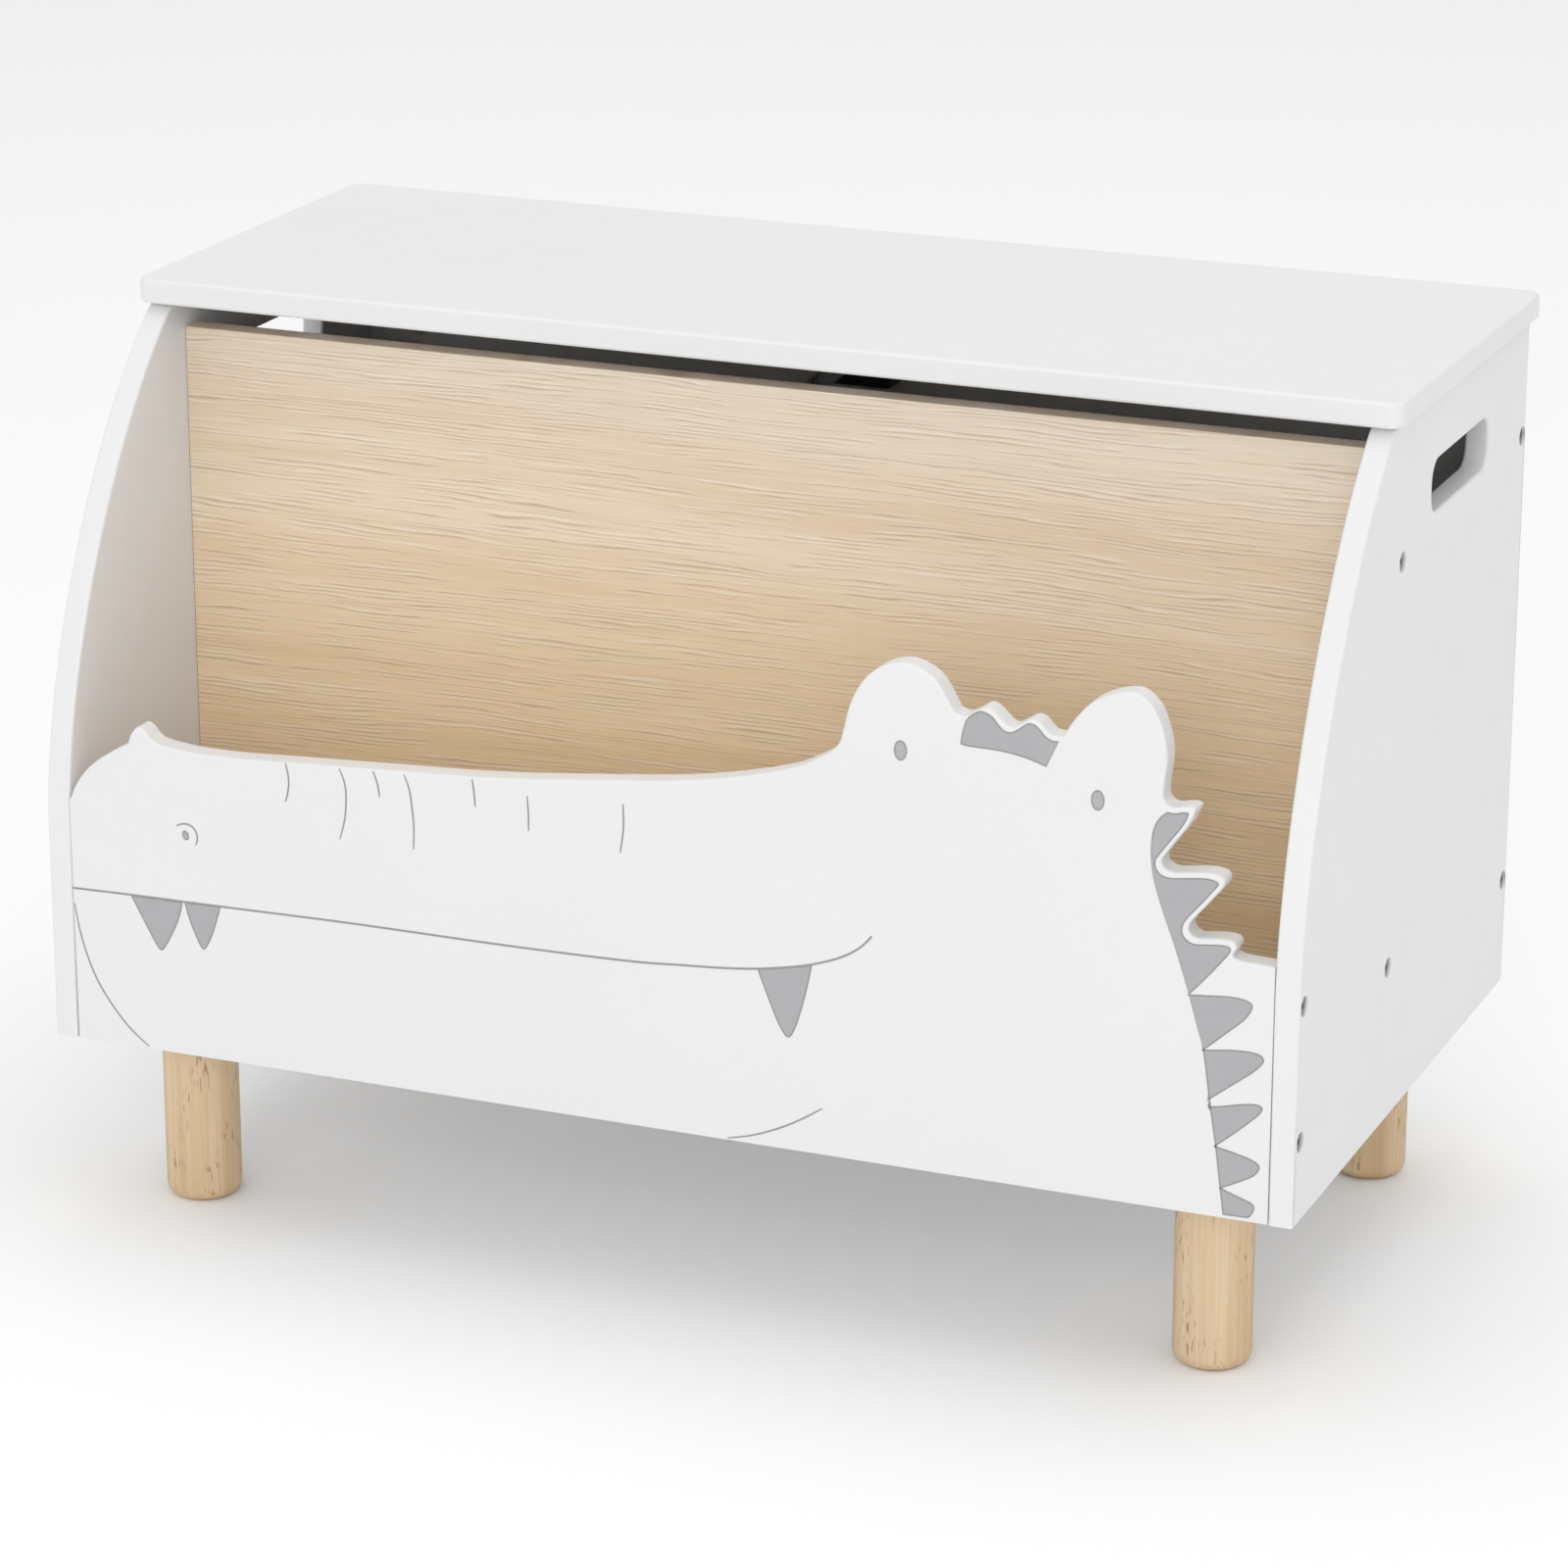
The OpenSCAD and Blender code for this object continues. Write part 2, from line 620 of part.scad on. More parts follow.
module stay_lower_arm() {
    x = stay_x - lower_arm_t / 2;
    color(steel) difference() {
        arm(stay_pivot, stay_knee, lower_arm_r, x, lower_arm_t);
        rod_x(stay_pivot[0], stay_pivot[1], stay_pin_r + run_clear, x - 1, x + lower_arm_t + 1);
        rod_x(stay_knee[0], stay_knee[1], knee_r, x - 1, x + lower_arm_t + 1);
    }
}

module stay_knee_rivet() {
    x0 = stay_x - lower_arm_t / 2;
    x1 = upper_x + upper_arm_t + slide_clear;
    color(steel) union() {
        rod_x(stay_knee[0], stay_knee[1], knee_r + 1.8, x0 - rivet_head_h, x0);
        rod_x(stay_knee[0], stay_knee[1], knee_r, x0 - eps, x1 + eps);
        rod_x(stay_knee[0], stay_knee[1], knee_r + 1.8, x1, x1 + rivet_head_h);
    }
}

module stay_upper_arm() {
    color(steel) difference() {
        arm(stay_knee, stay_lid, upper_arm_r, upper_x, upper_arm_t);
        rod_x(stay_knee[0], stay_knee[1], knee_r + run_clear, upper_x - 1, upper_x + upper_arm_t + 1);
        rod_x(stay_lid[0], stay_lid[1], open_pivot_r, upper_x - 1, upper_x + upper_arm_t + 1);
    }
}

module stay_lid_bracket() {
    y0 = stay_lid[0] - bracket_l / 2;
    y1 = stay_lid[0] + bracket_l / 2;
    color(steel) difference() {
        union() {
            box([ear_x, y0, lid_under - bracket_t], [ear_x + bracket_w, y1, lid_under]);
            box([ear_x, y0, stay_lid[1]], [ear_x + ear_t, y1, lid_under]);
            rod_x(stay_lid[0], stay_lid[1], bracket_l / 2, ear_x, ear_x + ear_t);
        }
        rod_x(stay_lid[0], stay_lid[1], lid_pin_r, ear_x - 1, ear_x + ear_t + 1);
        for (x = bracket_screw_x) translate([x, stay_lid[0], lid_under - bracket_t])
            sink(leaf_screw_head_r, leaf_sink);
    }
}

module stay_lid_pin() {
    x0 = upper_x - slide_clear;
    x1 = ear_x + ear_t;
    color(steel) union() {
        rod_x(stay_lid[0], stay_lid[1], lid_pin_r + 1.9, x0 - rivet_head_h, x0);
        rod_x(stay_lid[0], stay_lid[1], lid_pin_r, x0 - eps, x1);
        rod_x(stay_lid[0], stay_lid[1], lid_pin_r + 1.5, x1, x1 + rivet_head_h);
    }
}

module stay_bracket_screws() {
    color(steel) for (x = bracket_screw_x)
        translate([x, stay_lid[0], lid_under - bracket_t])
            sunk_screw(leaf_screw_r, leaf_screw_length, leaf_screw_head_r);
}

// ---- fixings between the boards ----

module connector_bolts() {
    seat = body_width / 2 - recess_depth;
    color(dark_steel) both_sides() for (p = bolt_places) difference() {
        union() {
            rod_x(p[0], floor_z + p[1], bolt_head_d / 2, seat, seat + bolt_head_h);
            rod_x(p[0], floor_z + p[1], bolt_d / 2, seat - bolt_length, seat + eps);
        }
        translate([seat + bolt_head_h - socket_depth, p[0], floor_z + p[1]]) rotate([0, 90, 0])
            cylinder(d = socket_d, h = socket_depth + over, $fn = 6);
    }
}

module barrel_nuts() {
    color(steel) both_sides() for (p = bolt_places) difference() {
        rod_y(inner_x - nut_in_panel, floor_z + p[1], nut_d / 2, p[0] - nut_length / 2,
            p[0] + nut_length / 2);
        rod_x(p[0], floor_z + p[1], bolt_d / 2, inner_x - nut_in_panel - nut_d,
            inner_x - nut_in_panel + nut_d);
    }
}

module wooden_dowels() {
    color(pine) both_sides() for (p = dowel_places)
        rod_x(p[0], floor_z + p[1], dowel_d / 2, inner_x - dowel_length + dowel_in_side,
            inner_x + dowel_in_side);
}

module bottom_panel_screws() {
    color(steel) for (x = bottom_screw_x) translate([x, back_y - bottom_screw_sunk, floor_z + board / 2])
        rotate([90, 0, 0]) sunk_screw(bottom_screw_r, bottom_screw_length, bottom_screw_head_r);
}

// ---- legs ----

module leg(i) {
    r = leg_d / 2;
    f = leg_foot_r;
    color(pine) translate([leg_places[i][0] * leg_x, leg_places[i][1], 0]) difference() {
        rotate_extrude($fn = 96) polygon(concat([[0, 0]],
            [for (a = [0:10:90]) [r - f + f * sin(a), f - f * cos(a)]], [[r, leg_height], [0, leg_height]]));
        translate([0, 0, leg_height - hanger_in_leg - bore_spare])
            cylinder(r = hanger_d / 2, h = hanger_in_leg + bore_spare + over);
    }
}

module leg_front_left() { leg(0); }
module leg_front_right() { leg(1); }
module leg_rear_left() { leg(2); }
module leg_rear_right() { leg(3); }

module leg_hanger_bolts() {
    color(steel) for (p = leg_places) translate([p[0] * leg_x, p[1], floor_z - hanger_in_leg])
        cylinder(r = hanger_d / 2, h = hanger_in_leg + insert_length - 1);
}

module leg_insert_nuts() {
    color(steel) for (p = leg_places) translate([p[0] * leg_x, p[1], floor_z]) difference() {
        union() {
            translate([0, 0, board - insert_length]) cylinder(r = insert_r, h = insert_length);
            translate([0, 0, board - insert_flange_t]) cylinder(r = insert_flange_r, h = insert_flange_t);
        }
        translate([0, 0, -over]) cylinder(r = hanger_d / 2, h = board + 2 * over);
    }
}

side_board_left();
side_board_right();
crocodile_front_panel();
divider_panel();
back_panel();
bottom_panel();
lid_panel();
lid_bumpers();
hinge_left_body_leaf();
hinge_right_body_leaf();
hinge_left_lid_leaf();
hinge_right_lid_leaf();
hinge_left_pin();
hinge_right_pin();
hinge_body_screws();
hinge_lid_screws();
stay_housing();
stay_housing_screws();
stay_pivot_pin();
stay_friction_washers();
stay_lower_arm();
stay_knee_rivet();
stay_upper_arm();
stay_lid_bracket();
stay_lid_pin();
stay_bracket_screws();
connector_bolts();
barrel_nuts();
wooden_dowels();
bottom_panel_screws();
leg_front_left();
leg_front_right();
leg_rear_left();
leg_rear_right();
leg_hanger_bolts();
leg_insert_nuts();
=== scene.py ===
import math

import bpy
import numpy as np
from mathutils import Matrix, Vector
from mathutils.geometry import tessellate_polygon


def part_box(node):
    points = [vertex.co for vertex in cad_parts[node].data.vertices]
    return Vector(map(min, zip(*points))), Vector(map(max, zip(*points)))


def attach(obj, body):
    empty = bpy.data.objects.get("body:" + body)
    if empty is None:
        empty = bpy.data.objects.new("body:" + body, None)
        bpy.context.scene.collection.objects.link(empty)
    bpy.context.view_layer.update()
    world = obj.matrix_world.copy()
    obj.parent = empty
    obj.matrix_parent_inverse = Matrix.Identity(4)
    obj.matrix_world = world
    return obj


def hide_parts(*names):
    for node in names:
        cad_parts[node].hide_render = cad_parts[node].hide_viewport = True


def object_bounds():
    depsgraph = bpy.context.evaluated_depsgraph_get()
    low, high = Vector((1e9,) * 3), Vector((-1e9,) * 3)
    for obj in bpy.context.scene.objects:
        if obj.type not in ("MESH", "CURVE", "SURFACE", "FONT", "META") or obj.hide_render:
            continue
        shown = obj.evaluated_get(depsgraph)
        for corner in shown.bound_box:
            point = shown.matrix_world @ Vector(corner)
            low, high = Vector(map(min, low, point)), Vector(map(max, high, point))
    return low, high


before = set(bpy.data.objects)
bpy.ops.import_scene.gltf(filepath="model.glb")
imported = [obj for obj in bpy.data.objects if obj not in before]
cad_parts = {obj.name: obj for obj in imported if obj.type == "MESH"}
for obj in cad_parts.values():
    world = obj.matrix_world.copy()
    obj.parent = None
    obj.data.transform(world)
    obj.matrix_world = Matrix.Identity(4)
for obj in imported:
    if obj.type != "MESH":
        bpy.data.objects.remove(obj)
cadBox = [list(corner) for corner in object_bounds()]
print("frame loaded:", len(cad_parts), "nodes")

mm = 0.001
weld = 1e-5  # corners of a CAD node closer than this are one
largestBore = 12 * mm  # radius up to which a round loop is a bore
roundWithin = 0.03 * mm  # how much a round loop's radius may vary
onBoreWithin = 0.04 * mm  # how far a corner may lie from a bore's radius
outlineGap = 0.25 * mm  # points of an outline that are closer than this are dropped


def startMaterial(name):
    # An empty finish: its node tree and its surface shader
    material = bpy.data.materials.new(name)
    material.use_nodes = True
    tree = material.node_tree
    return material, tree, tree.nodes["Principled BSDF"]


def addNode(tree, kind, settings=None, inputs=None):
    # One shader node; an input is either a plain value or another node's output
    node = tree.nodes.new(kind)
    for key, value in (settings or {}).items():
        setattr(node, key, value)
    for key, value in (inputs or {}).items():
        if isinstance(value, bpy.types.NodeSocket):
            tree.links.new(value, node.inputs[key])
        else:
            node.inputs[key].default_value = value
    return node


def objectPlace(tree):
    return addNode(tree, "ShaderNodeTexCoord").outputs["Object"]


def stretched(tree, scale, shift=(0, 0, 0), place=None):
    # A place in the object, or another one that is given, stretched by a scale for each axis
    inputs = {"Vector": place or objectPlace(tree), "Scale": scale, "Location": shift}
    return addNode(tree, "ShaderNodeMapping", inputs=inputs).outputs["Vector"]


def noise(tree, place, detail=2.0, rough=0.5, distortion=0.0):
    inputs = {"Vector": place, "Scale": 1.0, "Detail": detail, "Roughness": rough, "Distortion": distortion}
    return addNode(tree, "ShaderNodeTexNoise", inputs=inputs).outputs["Fac"]


def reckon(tree, operation, *values):
    # One sum on numbers or node outputs
    return addNode(tree, "ShaderNodeMath", {"operation": operation}, dict(enumerate(values))).outputs[0]


def ramp(tree, value, stops):
    # Colour ramp from (place, colour) stops
    node = addNode(tree, "ShaderNodeValToRGB", inputs={"Fac": value})
    points = node.color_ramp.elements
    while len(points) < len(stops):
        points.new(0.5)
    for point, (place, colour) in zip(points, stops):
        point.position = place
        point.color = (*colour, 1) if isinstance(colour, tuple) else (colour, colour, colour, 1)
    return node.outputs["Color"]


def spread(tree, value, low, high, fromLow=0.0, fromHigh=1.0):
    # The value's range from fromLow to fromHigh brought to low to high
    inputs = {"Value": value, "From Min": fromLow, "From Max": fromHigh, "To Min": low, "To Max": high}
    return addNode(tree, "ShaderNodeMapRange", inputs=inputs).outputs["Result"]


def mixColours(tree, share, first, second, blend="MIX"):
    node = addNode(tree, "ShaderNodeMix", {"data_type": "RGBA", "blend_type": blend})
    for index, value in ((0, share), (6, first), (7, second)):
        if isinstance(value, bpy.types.NodeSocket):
            tree.links.new(value, node.inputs[index])
        else:
            node.inputs[index].default_value = (*value, 1) if isinstance(value, tuple) else value
    return node.outputs[2]


def addBump(tree, shader, height, strength, distance):
    inputs = {"Height": height, "Strength": strength, "Distance": distance}
    bump = addNode(tree, "ShaderNodeBump", inputs=inputs)
    tree.links.new(bump.outputs["Normal"], shader.inputs["Normal"])


def makePaint(name, light, dark, rough):
    # Sprayed satin paint on fibreboard: a faint cloud in the tone, a fine orange peel in the surface
    material, tree, shader = startMaterial(name)
    cloud = noise(tree, stretched(tree, (5, 5, 5)), detail=3)
    tree.links.new(ramp(tree, cloud, [(0.3, dark), (0.7, light)]), shader.inputs["Base Color"])
    sheen = noise(tree, stretched(tree, (38, 38, 38)), detail=2)
    tree.links.new(spread(tree, sheen, rough - 0.05, rough + 0.05, 0.3, 0.7), shader.inputs["Roughness"])
    peel = noise(tree, stretched(tree, (430, 430, 430)), detail=2, rough=0.6)
    addBump(tree, shader, peel, 0.12, 0.0001)
    return material


def makeOak(name, tone):
    # Oak foil with the grain along X: broad bands, fine figure, and pressed-in lines broken into dashes, each
    # a dark pore line with painted groove shade and a painted highlight on the lip above it. Towards the
    # board's foot the tone is multiplied by a painted warm shade, standing in for the shadow and bounced
    # light low in the recess.
    material, tree, shader = startMaterial(name)
    place = objectPlace(tree)
    lift = 0.0
    for size, scale, start in tone["waves"]:
        lift = reckon(tree, "MULTIPLY_ADD", noise(tree, stretched(tree, scale, start)), size, lift)
    shift = addNode(tree, "ShaderNodeCombineXYZ", inputs={"Z": lift}).outputs["Vector"]
    bent = addNode(tree, "ShaderNodeVectorMath", {"operation": "ADD"}, {0: place, 1: shift}).outputs["Vector"]
    bands = noise(tree, stretched(tree, (1.0, 20, 24), place=bent), detail=3, rough=0.55)
    base = ramp(tree, bands, [(0.32, tone["dark"]), (0.5, tone["middle"]), (0.68, tone["light"])])
    height = addNode(tree, "ShaderNodeSeparateXYZ", inputs={"Vector": place}).outputs["Z"]
    # painted warm shade: the tone is multiplied by a warm tint, fully below the lower height and fading out
    # by the upper one
    foot = spread(tree, height, 1.0, 0.0, *tone["paintedWarmShadeFrom"])
    base = mixColours(tree, foot, base, mixColours(tree, 1.0, base, tone["paintedWarmShade"], "MULTIPLY"))
    figure = noise(tree, stretched(tree, (5, 60, 300), (5, 0, 1), bent), detail=3, rough=0.6)
    fine = ramp(tree, figure, [(0.34, tone["fineDark"]), (0.66, 1.0)])
    base = mixColours(tree, tone["fineShare"], base, fine, "MULTIPLY")
    rows = addNode(tree, "ShaderNodeTexWave",
                   {"wave_type": "BANDS", "bands_direction": "Z", "wave_profile": "SAW"},
                   {"Vector": bent, "Scale": math.tau / (20 * tone["linePitch"])}).outputs["Fac"]
    dashes = noise(tree, stretched(tree, (20, 10, 340), (2, 7, 3), bent), detail=1)
    dashes = ramp(tree, dashes, [(0.42, 0.0), (0.60, 1.0)])
    lines = []
    # each pressed-in line is painted into the base: the dark one is pore colour with painted groove shade,
    # the pale one a painted highlight on the groove's upper lip
    for stops, colour, share in tone["lines"]:
        line = ramp(tree, rows, list(zip(stops, (0.0, 1.0, 1.0, 0.0))))
        line = reckon(tree, "MULTIPLY", line, dashes)
        base = mixColours(tree, spread(tree, line, 0.0, share), base, colour)
        lines.append(line)
    tree.links.new(base, shader.inputs["Base Color"])
    tree.links.new(spread(tree, figure, 0.42, 0.56, 0.3, 0.7), shader.inputs["Roughness"])
    addBump(tree, shader, reckon(tree, "SUBTRACT", lines[1], lines[0]), 0.3, 0.00012)
    return material


def makePine(name, tone):
    # Lathe-turned wood, grain along Z: broad year bands, thin fibres, and short dark flecks in patches
    material, tree, shader = startMaterial(name)
    bands = noise(tree, stretched(tree, (46, 46, 2.2)), distortion=0.4)
    base = ramp(tree, bands, [(0.32, tone["dark"]), (0.5, tone["middle"]), (0.68, tone["light"])])
    fibres = noise(tree, stretched(tree, (620, 620, 9)), detail=3, rough=0.6)
    thread = ramp(tree, fibres, [(0.3, tone["fibre"]), (0.7, 1.0)])
    base = mixColours(tree, 0.65, base, thread, "MULTIPLY")
    flecks = noise(tree, stretched(tree, (760, 760, 110), (2, 5, 1)), detail=1)
    flecks = ramp(tree, flecks, [(0.60, 0.0), (0.68, 1.0)])
    patches = noise(tree, stretched(tree, (50, 50, 20), (7, 3, 5)), detail=1)
    patches = ramp(tree, patches, [(0.44, 0.0), (0.58, 1.0)])
    mask = reckon(tree, "MULTIPLY", flecks, patches)
    base = mixColours(tree, spread(tree, mask, 0.0, tone["fleckShare"]), base, tone["fleck"])
    tree.links.new(base, shader.inputs["Base Color"])
    tree.links.new(spread(tree, fibres, 0.42, 0.60, 0.3, 0.7), shader.inputs["Roughness"])
    addBump(tree, shader, fibres, 0.10, 0.0001)
    return material


def makeMetal(name, light, dark, rough):
    # Plated steel: a fine mottle in the colour and the polish
    material, tree, shader = startMaterial(name)
    shader.inputs["Metallic"].default_value = 1.0
    mottle = noise(tree, stretched(tree, (900, 900, 900)), detail=3)
    tree.links.new(ramp(tree, mottle, [(0.35, dark), (0.65, light)]), shader.inputs["Base Color"])
    tree.links.new(spread(tree, mottle, rough - 0.03, rough + 0.03, 0.3, 0.7), shader.inputs["Roughness"])
    addBump(tree, shader, mottle, 0.03, 0.00002)
    return material


def makeMoulded(name, light, dark, rough, grain=900):
    # Moulded plastic or rubber: an even colour with a fine eroded grain
    material, tree, shader = startMaterial(name)
    spark = noise(tree, stretched(tree, (grain, grain, grain)), detail=2)
    tree.links.new(ramp(tree, spark, [(0.3, dark), (0.7, light)]), shader.inputs["Base Color"])
    shader.inputs["Roughness"].default_value = rough
    addBump(tree, shader, spark, 0.25, 0.0001)
    return material


def makeInk(name, light, dark):
    # Screen-printed ink: almost flat, with a little unevenness in its cover
    material, tree, shader = startMaterial(name)
    cover = noise(tree, stretched(tree, (110, 110, 110)), detail=3)
    tree.links.new(ramp(tree, cover, [(0.3, dark), (0.7, light)]), shader.inputs["Base Color"])
    shader.inputs["Roughness"].default_value = 0.5
    return material


oakTone = {
    "light": (0.80, 0.70, 0.575), "middle": (0.77, 0.655, 0.515), "dark": (0.73, 0.60, 0.45),
    # painted warm shade at the board's foot: its tint, and the heights over which it fades out
    "paintedWarmShade": (1.17, 1.03, 0.80), "paintedWarmShadeFrom": (0.25, 0.52),  # heights in metres
    "fineDark": (0.88, 0.84, 0.79), "fineShare": 0.45,
    "linePitch": 2.6 * mm,
    "lines": [  # shares of the pitch at which it starts, is full, is full to, and ends; its colour; its cover
        # first the dark pore line with painted groove shade, then the painted highlight on its upper lip
        ((0.0, 0.12, 0.24, 0.36), (0.48, 0.34, 0.22), 0.60),
        ((0.34, 0.48, 0.60, 0.76), (0.93, 0.87, 0.80), 0.42)],
    "waves": [  # rise in metres, noise scale, noise start
        (0.035, (1.6, 3, 6), (0, 0, 0)),
        (0.0026, (15, 10, 45), (3, 1, 2)),
        (0.005, (13, 10, 170), (1, 2, 6))],
}
pineTone = {
    "light": (0.76, 0.60, 0.41), "middle": (0.69, 0.515, 0.32), "dark": (0.59, 0.405, 0.22),
    "fibre": (0.82, 0.76, 0.67), "fleck": (0.30, 0.17, 0.08), "fleckShare": 0.8,
}
whitePaint = makePaint("whitePaint", (0.775, 0.775, 0.778), (0.762, 0.762, 0.765), 0.38)
oakFoil = makeOak("oakFoil", oakTone)
turnedPine = makePine("turnedPine", pineTone)
finishes = {
    "white_paint": whitePaint,
    "oak_veneer": oakFoil,
    "natural_pine": turnedPine,
    "zinc_steel": makeMetal("zincSteel", (0.66, 0.66, 0.67), (0.61, 0.61, 0.62), 0.34),
    "dark_steel": makeMetal("darkSteel", (0.34, 0.34, 0.35), (0.29, 0.29, 0.30), 0.36),
    "black_plastic": makeMoulded("blackPlastic", (0.022, 0.022, 0.023), (0.014, 0.014, 0.015), 0.42),
    "clear_bumper": makeMoulded("clearBumper", (0.74, 0.76, 0.77), (0.70, 0.72, 0.73), 0.30, 300),
}
greyInk = makeInk("greyInk", (0.40, 0.40, 0.415), (0.385, 0.385, 0.40))
greyRim = makeInk("greyRim", (0.27, 0.27, 0.28), (0.25, 0.25, 0.26))
greyLine = makeInk("greyLine", (0.30, 0.30, 0.305), (0.27, 0.27, 0.275))
paleInk = makeInk("paleInk", (0.42, 0.42, 0.43), (0.40, 0.40, 0.41))
print("finishes made:", len(bpy.data.materials))


def buildPiece(name, points, faces, material, body, replaced=(), sharp=38):
    # A mesh piece from its points and faces, smooth but for its sharp edges, riding on a body
    mesh = bpy.data.meshes.new(name)
    mesh.from_pydata(points.tolist(), [], faces)
    mesh.validate()
    mesh.materials.append(material)
    mesh.shade_smooth()
    mesh.set_sharp_from_angle(angle=math.radians(sharp))
    piece = bpy.data.objects.new(name, mesh)
    bpy.context.scene.collection.objects.link(piece)
    even = piece.modifiers.new("even", "WEIGHTED_NORMAL")
    even.keep_sharp = True
    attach(piece, body)
    if replaced:
        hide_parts(*replaced)
    return piece


def nodeTriangles(node):
    # Corners of a CAD node, welded, and its triangles
    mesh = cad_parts[node].data
    points = np.empty(len(mesh.vertices) * 3, np.float32)
    mesh.vertices.foreach_get("co", points)
    corners = np.empty(len(mesh.loops), np.int32)
    mesh.loops.foreach_get("vertex_index", corners)
    steps = np.round(points.reshape(-1, 3) / weld).astype(np.int64)
    keys, index = np.unique(steps, axis=0, return_inverse=True)
    return keys * weld, index.ravel()[corners].reshape(-1, 3)


def faceLoops(points, triangles, axis, level):
    # Loops round the flat face at a level along an axis: the edges that only one of its triangles has, in a
    # chain. Seen from the high side of the axis, outer loops run anticlockwise and holes clockwise.
    flat = (np.abs(points[triangles][:, :, axis] - level) < 3 * weld).all(axis=1)
    edges = triangles[flat][:, [0, 1, 1, 2, 2, 0]].reshape(-1, 2)
    key = edges.min(1).astype(np.int64) * len(points) + edges.max(1)
    first, count = np.unique(key, return_index=True, return_counts=True)[1:]
    after = dict(edges[first[count == 1]].tolist())
    loops = []
    while after:
        chain = [next(iter(after))]
        while chain[-1] in after:
            chain.append(after.pop(chain[-1]))
        loops.append(points[chain[:-1]][:, [(axis + 1) % 3, (axis + 2) % 3]])
    total = sum(signedArea(loop) for loop in loops)
    return loops if total > 0 else [loop[::-1] for loop in loops]


def signedArea(loop):
    # Area inside a loop, positive where it runs anticlockwise: half the sum of the points' cross products
    after = np.roll(loop, -1, 0)
    return 0.5 * float((loop[:, 0] * after[:, 1] - loop[:, 1] * after[:, 0]).sum())


def asCircle(loop):
    # Centre and radius where a loop is a small circle, else None
    centre = (loop.min(0) + loop.max(0)) / 2
    reach = np.linalg.norm(loop - centre, axis=1)
    if reach.max() < largestBore and reach.max() - reach.min() < roundWithin:
        return (round(float(centre[0]), 5), round(float(centre[1]), 5)), float(reach.max())
    return None


def thinned(loop, gap):
    # The loop without points that crowd the one before them
    step = np.linalg.norm(loop - np.roll(loop, 1, 0), axis=1)
    return loop[step > gap]


def sideways(loop):
    # Direction into the material at each point: the mean of its two edges' left-hand normals, which is made
    # longer at corners
    edge = np.roll(loop, -1, 0) - loop
    edge /= np.linalg.norm(edge, axis=1)[:, None]
    left = np.stack([-edge[:, 1], edge[:, 0]], 1)
    both = left + np.roll(left, 1, 0)
    both /= np.linalg.norm(both, axis=1)[:, None]
    return both / np.maximum((both * left).sum(1), 0.5)[:, None]


def fittedInset(loop, inset):
    # The inset at each point, less where the inner ring would fold over itself
    way = sideways(loop)
    inset = np.full(len(loop), inset) if np.isscalar(inset) else inset.copy()
    edge = np.roll(loop, -1, 0) - loop
    for attempt in range(30):
        inner = loop + way * inset[:, None]
        folded = ((np.roll(inner, -1, 0) - inner) * edge).sum(1) < 0.12 * (edge ** 2).sum(1)
        if not folded.any():
            break
        near = folded | np.roll(folded, 1)
        inset[near] *= 0.8
    return way * inset[:, None], inset


class Shell:
    # Points and faces of one piece as they are gathered; u, v and the board's axis follow one another
    def __init__(self, axis):
        self.axis, self.points, self.faces, self.size = axis, [], [], 0

    def ring(self, flat, level):
        # A ring of points, given in the board's plane, at a level along its axis; returns their numbers
        block = np.empty((len(flat), 3))
        block[:, (self.axis + 1) % 3], block[:, (self.axis + 2) % 3] = flat[:, 0], flat[:, 1]
        block[:, self.axis] = level
        self.points.append(block)
        self.size += len(block)
        return np.arange(self.size - len(block), self.size)

    def wall(self, rings):
        # Four-sided faces between rings that go up the axis
        for low, high in zip(rings, rings[1:]):
            self.faces += np.stack([low, np.roll(low, -1), np.roll(high, -1), high], 1).tolist()

    def cap(self, rings, up):
        # Flat face inside the first ring and outside the others
        stacked = np.concatenate(self.points)
        flat = stacked[:, [(self.axis + 1) % 3, (self.axis + 2) % 3]]
        number = np.concatenate(rings)
        outlines = [[Vector((u, v, 0)) for u, v in flat[ring].tolist()] for ring in rings]
        triangles = number[np.array(tessellate_polygon(outlines))]
        a, b, c = (flat[triangles[:, k]] for k in range(3))
        turn = (b[:, 0] - a[:, 0]) * (c[:, 1] - a[:, 1]) - (b[:, 1] - a[:, 1]) * (c[:, 0] - a[:, 0])
        wrong = (turn < 0) if up else (turn > 0)
        triangles[wrong] = triangles[wrong][:, ::-1]
        self.faces += triangles[np.abs(turn) > 1e-12].tolist()


def roundedWall(shell, loop, low, high, inset, steps):
    # Quarter rounds at both faces: at angle t the ring is inset times (1 - cos t) sideways, and inset times
    # (1 - sin t) short of the face
    turn = np.linspace(0, math.pi / 2, steps + 1)
    way, size = fittedInset(loop, inset)
    rings = [shell.ring(loop + way * (1 - math.cos(t)), low + size * (1 - math.sin(t))) for t in turn[::-1]]
    rings += [shell.ring(loop + way * (1 - math.cos(t)), high - size * (1 - math.sin(t))) for t in turn]
    shell.wall(rings)
    return rings[0], rings[-1]


def boreRings(shell, centre, stations, count=32):
    # Clockwise circles at (radius, level) stations that go up the axis
    turn = -np.arange(count) * 2 * math.pi / count
    circle = np.stack([np.cos(turn), np.sin(turn)], 1)
    rings = [shell.ring(np.array(centre) + circle * radius, level) for radius, level in stations]
    shell.wall(rings)
    return rings


